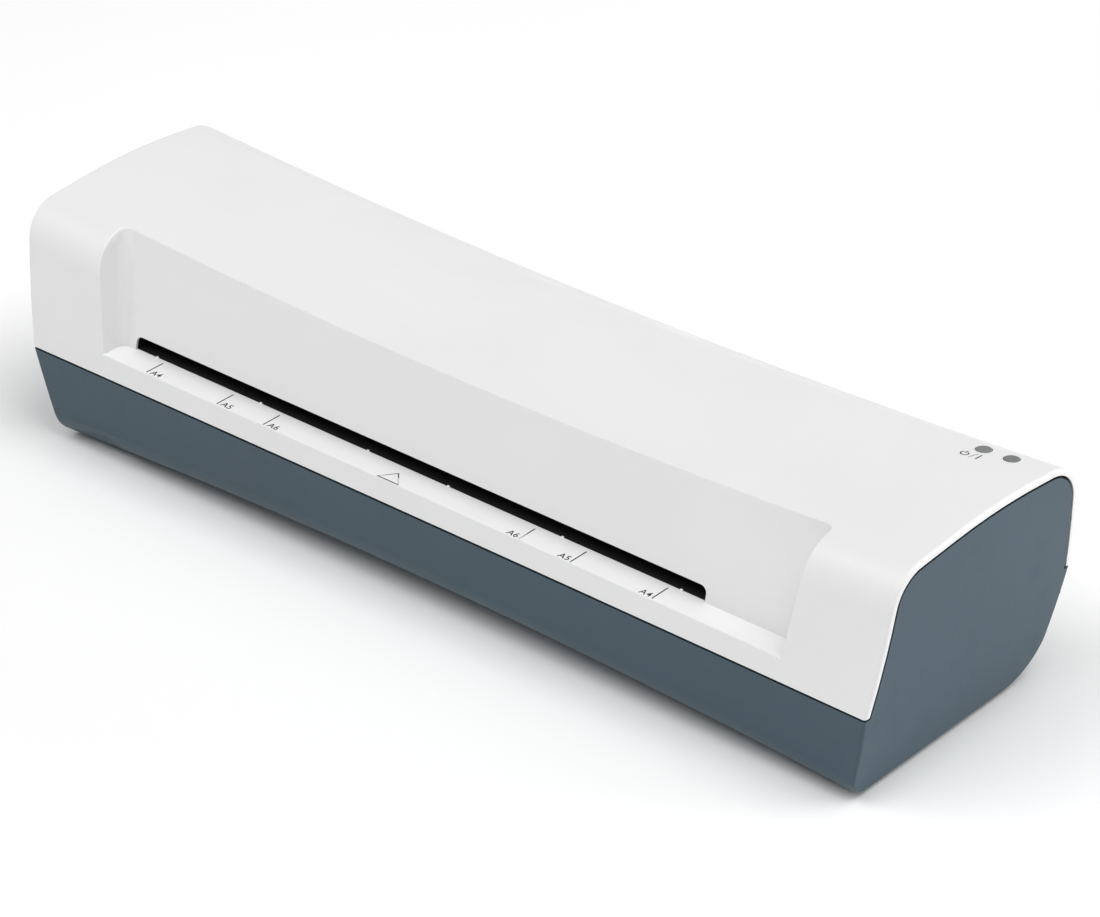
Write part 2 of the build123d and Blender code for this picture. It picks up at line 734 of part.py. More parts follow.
for which, z in (("lower", lower_z), ("upper", upper_z)):
    roller_set(which, z)
    bush(f"{which}_left_bush", z, frame_left_x, 1, which == "upper")
    bush(f"{which}_right_bush", z, frame_right_x, -1, which == "upper")
for side, x0 in (("left", frame_left_x), ("right", frame_right_x)):
    foot = Plane((x0 + frame_thick / 2, roller_y, upper_z + bush_r + spring_wire_r + shaft_fit))
    coil_spring(f"{side}_pressure_spring", foot, spring_space - 3 * shaft_fit,
                spring_r, spring_wire_r, spring_turns)


# ---- Gears and motor ----

def involute(angle):
    return tan(angle) - angle


def gear_outline(teeth, start):
    """Points of a spur gear's outline, with a tooth centred on the start angle, in radians."""
    pitch_r = module * teeth / 2
    base_r = pitch_r * cos(pressure_angle)
    root_r = pitch_r - 1.15 * module
    tip_r = pitch_r + 0.9 * module
    half_tooth = pi / (2 * teeth) - backlash / (2 * pitch_r)
    flank = []
    for step in range(5):
        radius = max(base_r, root_r) + (tip_r - max(base_r, root_r)) * step / 4
        slide = involute(pressure_angle) - involute(acos(min(1, base_r / radius)))
        flank.append((radius, half_tooth + slide))
    flank.insert(0, (root_r - 0.01, flank[0][1] + 0.05 * half_tooth))
    points = []
    for tooth in range(teeth):
        centre = start + tooth * 2 * pi / teeth
        points += [(radius * cos(centre - turn), radius * sin(centre - turn)) for radius, turn in flank]
        points += [(radius * cos(centre + turn), radius * sin(centre + turn))
                   for radius, turn in reversed(flank)]
    return points


def gear(name, teeth, start, place, bore_r, hub_r):
    """Spur gear with a raised hub, its axis along X."""
    face = Plane(origin=(gear_x, place[0], place[1]), x_dir=(0, 1, 0), z_dir=(1, 0, 0))
    with BuildPart() as wheel:
        with BuildSketch(face):
            with BuildLine():
                Polyline(*gear_outline(teeth, start), close=True)
            make_face()
            Circle(bore_r, mode=Mode.SUBTRACT)
        extrude(amount=gear_width)
        if hub_r > 0:
            rim_r = module * teeth / 2 - 2.4 * module
            with BuildSketch(face, face.offset(gear_width)):
                Circle(rim_r)
                Circle(hub_r, mode=Mode.SUBTRACT)
            extrude(amount=gear_width / 4, both=True, mode=Mode.SUBTRACT)
    save(name, wheel.part)


def beside(place, distance, direction):
    """Place at a distance and direction, in radians, from another place."""
    return (place[0] + distance * cos(direction), place[1] + distance * sin(direction))


def meshed_start(start, teeth, other_teeth, direction):
    """Start angle of a gear that meshes with another one lying in the given direction from it."""
    pitch = 2 * pi / teeth
    lag = (direction - start) % pitch
    return direction + pi + lag * teeth / other_teeth + pi / other_teeth


lower_place = (roller_y, lower_z)
upper_place = (roller_y, upper_z)
idler_direction = radians(idler_angle)
pinion_direction = radians(pinion_angle)
idler_place = beside(lower_place, module * (roller_teeth + idler_teeth) / 2, idler_direction)
pinion_place = beside(idler_place, module * (idler_teeth + pinion_teeth) / 2, pinion_direction)
lower_start = pi / 2
upper_start = meshed_start(lower_start, roller_teeth, roller_teeth, pi / 2)
idler_start = meshed_start(lower_start, roller_teeth, idler_teeth, idler_direction)
pinion_start = meshed_start(idler_start, idler_teeth, pinion_teeth, pinion_direction)
gear("lower_roller_gear", roller_teeth, lower_start, lower_place, journal_r, 0)
gear("upper_roller_gear", roller_teeth, upper_start, upper_place, journal_r, 0)
gear("idler_gear", idler_teeth, idler_start, idler_place, axle_r + shaft_fit, 1.9 * axle_r)
gear("motor_pinion", pinion_teeth, pinion_start, pinion_place, motor_shaft_r, 0)

with BuildPart() as idler_axle:
    add(rod_between(frame_right_x + frame_thick, plate_x, *idler_place, axle_r))
save("idler_axle", idler_axle.part)

spacer_places = [(-21.0, 17.5), (33.0, 24.0), (-19.0, 66.0), (33.0, 66.0)]
motor_x = plate_x + frame_thick
ear_places = [beside(pinion_place, motor_r + motor_ear_r, radians(turn)) for turn in (40, 220)]
with BuildPart() as gear_plate:
    with BuildSketch(Plane.YZ.offset(plate_x)) as sheet:
        with Locations((frame_mid_y - plate_shift / 2, (frame_foot_z + plate_top_z) / 2)):
            Rectangle(frame_width + plate_shift, plate_top_z - frame_foot_z)
        chamfer(sheet.vertices(), frame_corner / 2)
        with Locations(upper_place, lower_place):
            Circle(clip_r + 2 * roller_lift, mode=Mode.SUBTRACT)
        with Locations(pinion_place):
            Circle(motor_shaft_r + 2 * fit, mode=Mode.SUBTRACT)
        with Locations(*spacer_places, *ear_places):
            Circle(screw_r, mode=Mode.SUBTRACT)
    extrude(amount=frame_thick)
save("gear_plate", gear_plate.part)
group("gear_plate_spacers", [tube(frame_right_x + frame_thick, plate_x, y, z, tie_r, screw_r)
                             for y, z in spacer_places])
group("gear_plate_screws", [screw(Plane(origin=(motor_x, y, z), x_dir=(0, 1, 0), z_dir=(1, 0, 0)),
                                  motor_x - frame_right_x - frame_thick) for y, z in spacer_places])

with BuildPart() as gear_motor:
    add(rod_between(motor_x, motor_x + motor_width, *pinion_place, motor_r))
    fillet(gear_motor.edges().group_by(Axis.X)[-1], 2 * edge_r)
    for place in ear_places:
        add(rod_between(motor_x, motor_x + frame_thick, *place, motor_ear_r))
    add(rod_between(motor_x, motor_x + motor_width / 2, *pinion_place, motor_shaft_r + shaft_fit),
        mode=Mode.SUBTRACT)
    for place in ear_places:
        add(rod_between(motor_x, motor_x + frame_thick, *place, screw_r), mode=Mode.SUBTRACT)
save("gear_motor", gear_motor.part)
group("motor_screws", [screw(Plane(origin=(motor_x + frame_thick, y, z), x_dir=(0, 1, 0), z_dir=(1, 0, 0)),
                             2 * frame_thick) for y, z in ear_places])
with BuildPart() as motor_shaft:
    add(rod_between(gear_x, motor_x + motor_width / 2 - fit, *pinion_place, motor_shaft_r))
save("motor_shaft", motor_shaft.part)


# ---- Heater plates, their elements and holders ----
heater_x0 = path_x - heater_length / 2
heater_x1 = path_x + heater_length / 2


def heater(which, side):
    """Aluminium heater plate with a rounded lead-in, and the flat element behind it."""
    face_z = path_z + side * heater_gap / 2
    back_z = face_z + side * heater_thick
    with BuildPart() as plate:
        add(box_between(heater_x0, heater_x1, heater_front_y, heater_rear_y,
                        min(face_z, back_z), max(face_z, back_z)))
        lead_in = plate.edges().filter_by(Axis.X).sort_by_distance((path_x, heater_front_y, face_z))[0]
        fillet(lead_in, heater_thick / 2)
    save(f"{which}_heater_plate", plate.part)
    middle_y = (heater_front_y + heater_rear_y) / 2
    far_z = back_z + side * element_thick
    with BuildPart() as element:
        add(box_between(path_x - element_length / 2, path_x + element_length / 2, middle_y - element_depth / 2,
                        middle_y + element_depth / 2, min(back_z, far_z), max(back_z, far_z)))
        fillet(element.edges().filter_by(Axis.Z), 2 * edge_r)
    save(f"{which}_heating_element", element.part)
    return plate.part, far_z


upper_plate, element_top_z = heater("upper", 1)
lower_plate, element_low_z = heater("lower", -1)
holder_reach = heater_gap / 2 + heater_thick + holder_wall
for name, x0, x1 in (("left_heater_holder", frame_left_x + frame_thick, heater_x0 + holder_grip),
                     ("right_heater_holder", heater_x1 - holder_grip, frame_right_x)):
    with BuildPart() as holder:
        add(box_between(x0, x1, heater_front_y, heater_rear_y - fit,
                        path_z - holder_reach, path_z + holder_reach))
        add(upper_plate, mode=Mode.SUBTRACT)
        add(lower_plate, mode=Mode.SUBTRACT)
        add(box_between(path_x - slot_length / 2, path_x + slot_length / 2,
                        heater_front_y - depth, heater_rear_y,
                        path_z - heater_gap / 2, path_z + heater_gap / 2), mode=Mode.SUBTRACT)
    save(name, holder.part)

thermostat_y = (heater_front_y + heater_rear_y) / 2
with BuildPart() as thermostat:
    with BuildSketch(Plane.XY.offset(element_top_z)):
        with Locations((path_x + thermostat_x, thermostat_y)):
            Circle(thermostat_r)
    extrude(amount=thermostat_height)
    fillet(thermostat.edges().group_by(Axis.Z)[-1], edge_r)
    with BuildSketch(Plane.XY.offset(element_top_z)):
        with Locations((path_x + thermostat_x, thermostat_y)):
            SlotOverall(4 * thermostat_r, thermostat_r)
    extrude(amount=edge_r)
save("thermostat", thermostat.part)
with BuildPart() as thermal_fuse:
    add(rod_between(path_x - thermostat_x - fuse_length / 2, path_x - thermostat_x + fuse_length / 2,
                    thermostat_y, element_top_z + fuse_r, fuse_r))
    fillet(thermal_fuse.edges().filter_by(GeomType.CIRCLE), fuse_r / 3)
save("thermal_fuse", thermal_fuse.part)


# ---- Power board and its parts ----
board_top_z = board_stand_z + board_thick
board_x, board_y = board_mid
board_x0 = board_x - power_board_length / 2
board_y0 = board_y - power_board_depth / 2


def on_board(name, x, y, length, width, height, edge):
    """Block-shaped part standing on the power board, measured from the board's corner."""
    with BuildPart() as block:
        add(box_between(board_x0 + x, board_x0 + x + length, board_y0 + y, board_y0 + y + width,
                        board_top_z, board_top_z + height))
        fillet(block.edges().group_by(Axis.Z)[-1], edge)
    save(name, block.part)


with BuildPart() as power_board:
    with BuildSketch(Plane.XY.offset(board_stand_z)) as sheet:
        with Locations(board_mid):
            Rectangle(power_board_length, power_board_depth)
        fillet(sheet.vertices(), 2 * edge_r)
        with Locations(*board_post_places):
            Circle(screw_r / 2, mode=Mode.SUBTRACT)
    extrude(amount=board_thick)
save("power_board", power_board.part)
on_board("relay", 30, 12, 19, 15, 10, 0.5)
on_board("transformer", 56, 10, 20, 18, 10.5, 0.5)
with BuildPart() as terminal_block:
    add(box_between(board_x0 + 8, board_x0 + 24, board_y0 + 28, board_y0 + 38, board_top_z, board_top_z + 10))
    chamfer(terminal_block.edges().group_by(Axis.Z)[-1].filter_by(Axis.X), 2 * edge_r)
    with BuildSketch(Plane.XY.offset(board_top_z + 10)):
        with Locations((board_x0 + 16, board_y0 + 33)):
            with GridLocations(5, 0, 3, 1):
                Circle(screw_r)
    extrude(amount=-3, mode=Mode.SUBTRACT)
save("terminal_block", terminal_block.part)
with BuildPart() as capacitor:
    with BuildSketch(Plane.XY.offset(board_top_z)):
        with Locations((board_x0 + 18, board_y0 + 14)):
            Circle(5)
    extrude(amount=capacitor_height)
    fillet(capacitor.edges().group_by(Axis.Z)[-1], edge_r)
save("capacitor", capacitor.part)


def small_screw(plane, length):
    """Small pan-head screw for the boards."""
    with BuildPart() as fastener:
        with BuildSketch(plane):
            Circle(head_r * 0.7)
        extrude(amount=head_thick * 0.7)
        fillet(fastener.faces().sort_by(Axis(plane.origin, plane.z_dir))[-1].edges(), head_thick / 4)
        with BuildSketch(plane):
            Circle(screw_r / 2)
        extrude(amount=-length)
    return fastener.part


# ---- Button, status light and control board, square to the cover's sloping top ----
control_plane = button_plane.offset(-control_board_drop)
control_back = control_plane.offset(-board_thick)
light_u = (light_x - button_x) / button_plane.x_dir.X
flange_top = -wall - 2 * fit
flange_thick = 1.2
stem_low = -control_board_drop + switch_height
with BuildPart() as power_button:
    with BuildSketch(button_plane.offset(button_proud)):
        Circle(button_r)
    extrude(amount=flange_top - button_proud)
    fillet(power_button.edges().sort_by(Axis(button_plane.origin, button_plane.z_dir))[-1], 0.4)
    with BuildSketch(button_plane.offset(flange_top)):
        Circle(button_r + 3 * fit)
    extrude(amount=-flange_thick)
    with BuildSketch(button_plane.offset(flange_top - flange_thick)):
        Circle(plunger_r)
    extrude(amount=stem_low + plunger_out - flange_top + flange_thick)
save("power_button", power_button.part)

with BuildPart() as status_light_pipe:
    with BuildSketch(light_plane.offset(button_proud)):
        Circle(button_r)
    extrude(amount=flange_top - button_proud)
    fillet(status_light_pipe.edges().sort_by(Axis(light_plane.origin, light_plane.z_dir))[-1], 0.4)
    with BuildSketch(light_plane.offset(flange_top)):
        Circle(button_r + 3 * fit)
    extrude(amount=-flange_thick)
    with BuildSketch(light_plane.offset(flange_top - flange_thick)):
        Circle(plunger_r)
    extrude(amount=-(control_board_drop + flange_top - flange_thick - led_height - fit))
save("status_light_pipe", status_light_pipe.part)

with BuildPart() as control_board:
    with BuildSketch(control_back) as sheet:
        with Locations((control_board_shift, 0)):
            Rectangle(control_board_length, control_board_width)
        fillet(sheet.vertices(), edge_r)
        with Locations(*control_posts):
            Circle(screw_r / 2, mode=Mode.SUBTRACT)
    extrude(amount=board_thick)
save("control_board", control_board.part)

with BuildPart() as switch_body:
    with BuildSketch(control_plane):
        Rectangle(switch_size, switch_size)
    extrude(amount=switch_height)
    with BuildSketch(control_plane.offset(switch_height)):
        Circle(plunger_r + shaft_fit)
    extrude(amount=-switch_height / 2, mode=Mode.SUBTRACT)
save("switch_body", switch_body.part)
with BuildPart() as switch_plunger:
    with BuildSketch(control_plane.offset(switch_height + plunger_out)):
        Circle(plunger_r)
    extrude(amount=-plunger_out - switch_height / 2 + button_travel + fit)
save("switch_plunger", switch_plunger.part)

with BuildPart() as status_led:
    with BuildSketch(control_plane):
        with Locations((light_u, 0)):
            Circle(led_r)
    extrude(amount=led_height - led_r / 2)
    fillet(status_led.faces().sort_by(Axis(control_plane.origin, control_plane.z_dir))[-1].edges(), led_r / 2)
save("status_led", status_led.part)
board_screws = [small_screw(Plane((x, y, board_top_z)), board_thick + screw_short / 2)
                for x, y in board_post_places]
board_screws += [small_screw(Plane(origin=control_back.from_local_coords(Vector(u, v, 0)),
                                   x_dir=control_back.x_dir, z_dir=-control_back.z_dir),
                             board_thick + screw_short / 2)
                 for u, v in control_posts]
group("board_screws", board_screws)


# ---- Feet and cord gland ----
foot_names = ("front_left_foot", "front_right_foot", "rear_left_foot", "rear_right_foot")
for name, (x, y) in zip(foot_names, foot_places):
    with BuildPart() as foot:
        with BuildSketch(Plane.XY):
            with Locations((x, y)):
                Circle(foot_r)
        extrude(amount=foot_top_z)
        fillet(foot.edges().group_by(Axis.Z)[0], edge_r / 2)
    save(name, foot.part)

with BuildPart() as cord_gland:
    with BuildSketch(gland_plane.offset(gland_flange)):
        Circle(gland_flange_r)
    extrude(amount=-gland_flange)
    fillet(cord_gland.edges().sort_by(Axis(gland_plane.origin, gland_plane.z_dir))[-1], edge_r / 2)
    with BuildSketch(gland_plane):
        Circle(gland_r)
    extrude(amount=-wall - fit)
    with BuildSketch(gland_plane.offset(-gland_grip)):
        Circle(gland_flange_r - edge_r / 2)
    extrude(amount=-gland_flange)
    with BuildSketch(gland_plane):
        Circle(gland_r - edge_r / 2)
    extrude(amount=-gland_grip)
    with BuildSketch(gland_plane.offset(gland_flange)):
        Circle(cord_r)
    extrude(amount=-gland_grip - 2 * gland_flange, mode=Mode.SUBTRACT)
save("cord_gland", cord_gland.part)
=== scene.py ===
import json
import math

import bpy
from mathutils import Matrix, Vector


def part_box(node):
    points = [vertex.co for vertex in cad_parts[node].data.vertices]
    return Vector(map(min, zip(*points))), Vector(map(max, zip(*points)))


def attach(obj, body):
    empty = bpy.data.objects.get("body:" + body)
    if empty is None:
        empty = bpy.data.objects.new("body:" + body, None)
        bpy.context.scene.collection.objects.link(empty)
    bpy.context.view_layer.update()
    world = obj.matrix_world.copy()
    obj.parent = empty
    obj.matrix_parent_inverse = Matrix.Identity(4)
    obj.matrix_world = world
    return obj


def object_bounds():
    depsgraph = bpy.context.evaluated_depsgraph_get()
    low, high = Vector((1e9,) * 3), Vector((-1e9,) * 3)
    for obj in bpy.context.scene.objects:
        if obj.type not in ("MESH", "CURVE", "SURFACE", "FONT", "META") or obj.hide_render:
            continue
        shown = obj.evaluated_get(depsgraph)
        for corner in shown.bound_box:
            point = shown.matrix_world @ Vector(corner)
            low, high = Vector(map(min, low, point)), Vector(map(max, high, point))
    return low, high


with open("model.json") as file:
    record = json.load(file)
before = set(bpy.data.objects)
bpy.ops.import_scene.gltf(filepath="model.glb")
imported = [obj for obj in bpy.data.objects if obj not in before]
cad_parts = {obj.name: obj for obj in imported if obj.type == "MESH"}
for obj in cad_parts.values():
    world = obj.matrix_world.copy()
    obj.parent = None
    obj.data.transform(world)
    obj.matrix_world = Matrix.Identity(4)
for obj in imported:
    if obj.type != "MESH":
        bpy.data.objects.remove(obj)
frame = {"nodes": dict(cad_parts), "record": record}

# A home pouch laminator: a white cover over a blue-grey base, with a feed shelf, a slot, a button
# and a light. Metres, +X along the length to the drive side, -Y the feed side, +Z up.
cad_low, cad_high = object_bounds()
nodes = frame["nodes"]
MM = 0.001


# ---- Shader kit ----


class Wire:
    """A socket of one material, so that sums on it are written as Python and become Math nodes."""

    def __init__(self, paint, socket):
        self.paint = paint
        self.socket = socket

    def math(self, operation, *terms, clamp=False):
        settings = {"operation": operation, "use_clamp": clamp}
        return self.paint.node("ShaderNodeMath", settings, dict(enumerate(terms)))

    def __add__(self, other):
        return self.math("ADD", self, other)

    def __radd__(self, other):
        return self.math("ADD", other, self)

    def __sub__(self, other):
        return self.math("SUBTRACT", self, other)

    def __rsub__(self, other):
        return self.math("SUBTRACT", other, self)

    def __mul__(self, other):
        return self.math("MULTIPLY", self, other)

    def __truediv__(self, other):
        return self.math("DIVIDE", self, other)

    def __pow__(self, other):
        return self.math("POWER", self, other)

    def above(self, edge):
        return self.math("GREATER_THAN", self, edge)

    def below(self, edge):
        return self.math("LESS_THAN", self, edge)

    def wrapped(self, step):
        return self.math("FLOORED_MODULO", self, step)

    def held(self):
        return self.math("ADD", self, 0.0, clamp=True)

    def between(self, low, high):
        """0 at low and under, 1 at high and over, smooth from one to the other."""
        settings = {"interpolation_type": "SMOOTHSTEP"}
        sockets = {"Value": self, "From Min": low, "From Max": high}
        return self.paint.node("ShaderNodeMapRange", settings, sockets)


class Paint:
    """One material: its node tree, and one method that adds any node to it."""

    def __init__(self, name, **constants):
        self.material = bpy.data.materials.new(name)
        self.material.use_nodes = True
        self.tree = self.material.node_tree
        self.shader = self.tree.nodes["Principled BSDF"]
        for name, value in constants.items():
            self.shader.inputs[name.replace("_", " ")].default_value = value

    def node(self, kind, settings=None, sockets=None, output=0):
        made = self.tree.nodes.new(kind)
        for name, value in (settings or {}).items():
            setattr(made, name, value)
        for name, value in (sockets or {}).items():
            self.feed(made.inputs[name], value)
        return Wire(self, made.outputs[output])

    def feed(self, socket, value):
        if isinstance(value, Wire):
            self.tree.links.new(value.socket, socket)
        elif isinstance(value, tuple) and len(value) == 3 and socket.type == "RGBA":
            socket.default_value = (*value, 1.0)
        else:
            socket.default_value = value

    def set(self, **sockets):
        for name, value in sockets.items():
            self.feed(self.shader.inputs[name.replace("_", " ")], value)
        return self.material

    def place(self, stretch=(1, 1, 1), turn=(0, 0, 0)):
        """Where a point lies on the piece, in metres, with each axis stretched."""
        spot = self.node("ShaderNodeTexCoord", output="Object")
        settings = {"vector_type": "TEXTURE"}
        scale = tuple(1 / s for s in stretch)
        return self.node("ShaderNodeMapping", settings,
                         {"Vector": spot, "Rotation": turn, "Scale": scale})

    def along(self, spot, axis):
        return self.node("ShaderNodeSeparateXYZ", None, {0: spot}, output=axis)

    def noise(self, spot, size, detail=2.0, roughness=0.5, distortion=0.0):
        """Soft cloudy noise with features of about size metres, around 0.5."""
        sockets = {"Vector": spot, "Scale": 1 / size, "Detail": detail,
                   "Roughness": roughness, "Distortion": distortion}
        return self.node("ShaderNodeTexNoise", None, sockets)

    def cells(self, spot, size, output="Distance"):
        """Distance from, or colour of, the nearest of scattered points about size metres apart."""
        sockets = {"Vector": spot, "Scale": 1 / size}
        return self.node("ShaderNodeTexVoronoi", None, sockets, output=output)

    def mix(self, amount, first, second):
        """From the first colour to the second by amount."""
        settings = {"data_type": "RGBA"}
        return self.node("ShaderNodeMix", settings, {0: amount, 6: first, 7: second}, output=2)

    def bump(self, height, depth):
        """The shading of a surface that rises by depth metres where height is 1."""
        sockets = {"Height": height, "Distance": depth, "Strength": 1.0}
        return self.node("ShaderNodeBump", None, sockets)

    def crevices(self, reach, low, high):
        """1 deep inside gaps and under overhangs nearer than reach metres, 0 in the open."""
        settings = {"samples": 6}
        light = self.node("ShaderNodeAmbientOcclusion", settings, {"Distance": reach}, output="AO")
        return 1 - light.between(low, high)

    def edges(self, radius):
        """1 on outer and inner edges, 0 on open faces, over about radius metres."""
        rounded = self.node("ShaderNodeBevel", {"samples": 3}, {"Radius": radius})
        flat = self.node("ShaderNodeNewGeometry", output="Normal")
        settings = {"operation": "DOT_PRODUCT"}
        alike = self.node("ShaderNodeVectorMath", settings, {0: rounded, 1: flat}, output="Value")
        return (1 - alike).between(0.02, 0.3)


def shade(colour, by):
    return tuple(min(1.0, c * by) for c in colour)


# ---- Finishes ----


def moulded(name, colour, grain=0.35 * MM, depth=0.02 * MM, roughness=0.42, flow=0.03, worn=0.15,
            grime_and_gap_shade=0.6, tint=(1.0, 1.0, 1.0)):
    """Injection-moulded plastic: a spark-eroded grain, faint flow clouds, dust, rubbed edges, and painted
    shade that darkens gaps to near black.
    """
    paint = Paint(name, IOR=1.46)
    spot = paint.place()
    clouds = paint.noise(spot, 60 * MM, 3.0, 0.55, 0.4)
    speckle = paint.noise(spot, grain, 2.0, 0.7)
    dust = paint.noise(spot, 9 * MM, 4.0, 0.65).between(0.5, 0.78)
    rubbed = paint.edges(0.6 * MM) * paint.noise(spot, 3 * MM, 3.0).between(0.3, 0.7)
    body = paint.mix(clouds.between(0.3, 0.7), shade(colour, 1 - flow), shade(colour, 1 + flow))
    body = paint.mix(speckle.between(0.35, 0.65) * (flow * 2), body, shade(colour, 1.12))
    body = paint.mix(dust * (flow * 0.8), body, tuple(c * t for c, t in zip(shade(colour, 1.05), tint)))
    pale = tuple(c + (1 - c) * 0.35 for c in colour)
    body = paint.mix(rubbed * worn, body, pale)
    # painted shade: an ambient-occlusion mask darkens the colour to near black in gaps, seams and under
    # overhangs, standing in for the shadow there
    body = paint.mix(paint.crevices(3 * MM, 0.14, 0.40) * grime_and_gap_shade, body, (0.004, 0.004, 0.005))
    rough = roughness + (speckle - 0.5) * 0.16 + (clouds - 0.5) * 0.08 + dust * 0.05 - rubbed * 0.1
    height = speckle * 0.8 + paint.noise(spot, grain * 4, 2.0) * 0.2
    return paint.set(Base_Color=body, Roughness=rough.held(), Normal=paint.bump(height, depth))


def galvanised(name, colour, lines=(1, 1, 1)):
    """Pressed sheet steel: zinc spangle, rolling lines along the sheet, bright sheared edges."""
    paint = Paint(name, IOR=2.0, Metallic=1.0)
    spot = paint.place()
    spangle = paint.cells(spot, 5 * MM, output="Color")
    leaf = paint.along(spangle, 0)
    rolled = paint.noise(paint.place(stretch=lines), 0.4 * MM, 2.0, 0.6)
    grime_and_gap_shade = paint.noise(spot, 14 * MM, 4.0, 0.6).between(0.5, 0.8)
    edge = paint.edges(0.5 * MM)
    body = paint.mix(leaf, shade(colour, 0.86), shade(colour, 1.1))
    body = paint.mix(rolled.between(0.4, 0.7) * 0.3, body, shade(colour, 1.25))
    body = paint.mix(grime_and_gap_shade * 0.3, body, shade(colour, 0.55))
    body = paint.mix(edge * 0.5, body, shade(colour, 1.4))
    rough = 0.34 + leaf * 0.14 + grime_and_gap_shade * 0.15 - edge * 0.1
    return paint.set(Base_Color=body, Roughness=rough.held(), Normal=paint.bump(rolled, 0.01 * MM))


def turned(name, colour, roughness=0.22):
    """Bar steel turned on a lathe: fine rings round an axis that lies along X, and oil film."""
    paint = Paint(name, IOR=2.2, Metallic=1.0)
    spot = paint.place()
    rings = paint.noise(paint.place(stretch=(60, 1, 1)), 8 * MM, 3.0, 0.7)
    film = paint.noise(spot, 6 * MM, 3.0, 0.6).between(0.45, 0.75)
    edge = paint.edges(0.4 * MM)
    body = paint.mix(rings.between(0.3, 0.7), shade(colour, 0.82), shade(colour, 1.12))
    body = paint.mix(film * 0.35, body, (colour[0] * 0.62, colour[1] * 0.58, colour[2] * 0.5))
    body = paint.mix(edge * 0.4, body, shade(colour, 1.35))
    rough = roughness + rings * 0.12 + film * 0.12
    return paint.set(Base_Color=body, Roughness=rough.held(), Normal=paint.bump(rings, 0.008 * MM))


def plated(name, colour):
    """Zinc-plated wire and screws: a blue-white plating with dull patches and bright edges."""
    paint = Paint(name, IOR=2.2, Metallic=1.0)
    spot = paint.place()
    dull = paint.noise(spot, 1.6 * MM, 4.0, 0.6).between(0.4, 0.7)
    pits = paint.cells(spot, 0.35 * MM).between(0.0, 0.35)
    edge = paint.edges(0.25 * MM)
    body = paint.mix(dull, shade(colour, 1.15), (colour[0] * 0.7, colour[1] * 0.74, colour[2] * 0.8))
    body = paint.mix((1 - pits) * 0.3, body, shade(colour, 0.45))
    body = paint.mix(edge * 0.6, body, shade(colour, 1.6))
    rough = 0.24 + dull * 0.22 + (1 - pits) * 0.1
    return paint.set(Base_Color=body, Roughness=rough.held(), Normal=paint.bump(pits, 0.01 * MM))


def silicone(name, colour):
    """Ground silicone rubber: a satin skin with faint turning rings, lint and glue bloom."""
    paint = Paint(name, IOR=1.41, Sheen_Weight=0.15, Sheen_Roughness=0.5)
    spot = paint.place()
    rings = paint.noise(paint.place(stretch=(40, 1, 1)), 10 * MM, 2.0, 0.6)
    bloom = paint.noise(spot, 12 * MM, 4.0, 0.6).between(0.45, 0.8)
    lint = paint.noise(paint.place(stretch=(1, 5, 1)), 0.5 * MM, 3.0).between(0.66, 0.74)
    body = paint.mix(rings.between(0.3, 0.7), shade(colour, 0.85), shade(colour, 1.15))
    body = paint.mix(bloom * 0.22, body, tuple(c + 0.25 for c in colour))
    body = paint.mix(lint * 0.35, body, (0.6, 0.56, 0.52))
    rough = 0.42 + rings * 0.15 + bloom * 0.12
    return paint.set(Base_Color=body, Roughness=rough.held(), Normal=paint.bump(rings + lint, 0.01 * MM))


def soft_rubber(name, colour):
    """Black foot rubber: a dead matt skin, fine pores, and grey dust on what touches a table."""
    paint = Paint(name, IOR=1.5, Sheen_Weight=0.2, Sheen_Roughness=0.6)
    spot = paint.place()
    pores = paint.cells(spot, 0.3 * MM)
    dust = paint.noise(spot, 2.5 * MM, 4.0, 0.65).between(0.45, 0.75)
    edge = paint.edges(0.5 * MM)
    body = paint.mix(pores.between(0.1, 0.7), shade(colour, 0.7), shade(colour, 1.4))
    body = paint.mix(dust * 0.25, body, (0.16, 0.155, 0.15))
    body = paint.mix(edge * 0.3, body, (0.1, 0.1, 0.1))
    rough = 0.72 + dust * 0.15 - edge * 0.12
    return paint.set(Base_Color=body, Roughness=rough.held(), Normal=paint.bump(pores, 0.02 * MM))


def extruded(name, colour):
    """Extruded aluminium: die lines along X, a hazy skin and darker heat marks."""
    paint = Paint(name, IOR=1.6, Metallic=1.0)
    spot = paint.place()
    die = paint.noise(paint.place(stretch=(0.01, 1, 1)), 0.5 * MM, 3.0, 0.7)
    heat = paint.noise(spot, 30 * MM, 3.0, 0.55).between(0.5, 0.8)
    edge = paint.edges(0.5 * MM)
    body = paint.mix(die.between(0.3, 0.7), shade(colour, 0.82), shade(colour, 1.12))
    body = paint.mix(heat * 0.3, body, (colour[0] * 0.8, colour[1] * 0.66, colour[2] * 0.45))
    body = paint.mix(edge * 0.5, body, shade(colour, 1.3))
    rough = 0.3 + die * 0.2 + heat * 0.1
    return paint.set(Base_Color=body, Roughness=rough.held(), Normal=paint.bump(die, 0.015 * MM))


def etched_foil(name, colour):
    """A heating element: tan insulating film over a metal foil track that runs to and fro."""
    paint = Paint(name, IOR=1.6)
    spot = paint.place()
    across = paint.along(spot, 1).wrapped(4 * MM) / (4 * MM)
    track = across.between(0.2, 0.26) * (1 - across.between(0.74, 0.8))
    cloud = paint.noise(spot, 12 * MM, 3.0, 0.6)
    fibre = paint.noise(paint.place(stretch=(1, 6, 1)), 0.8 * MM, 3.0, 0.7)
    body = paint.mix(track, colour, (0.42, 0.4, 0.36))
    body = paint.mix(cloud.between(0.35, 0.75) * 0.35, body, shade(colour, 0.55))
    body = paint.mix(fibre.between(0.5, 0.75) * 0.25, body, shade(colour, 1.5))
    rough = 0.5 - track * 0.15 + fibre * 0.15
    height = track * 0.7 + fibre * 0.3
    return paint.set(Base_Color=body, Roughness=rough.held(), Metallic=track * 0.35,
                     Normal=paint.bump(height, 0.04 * MM))


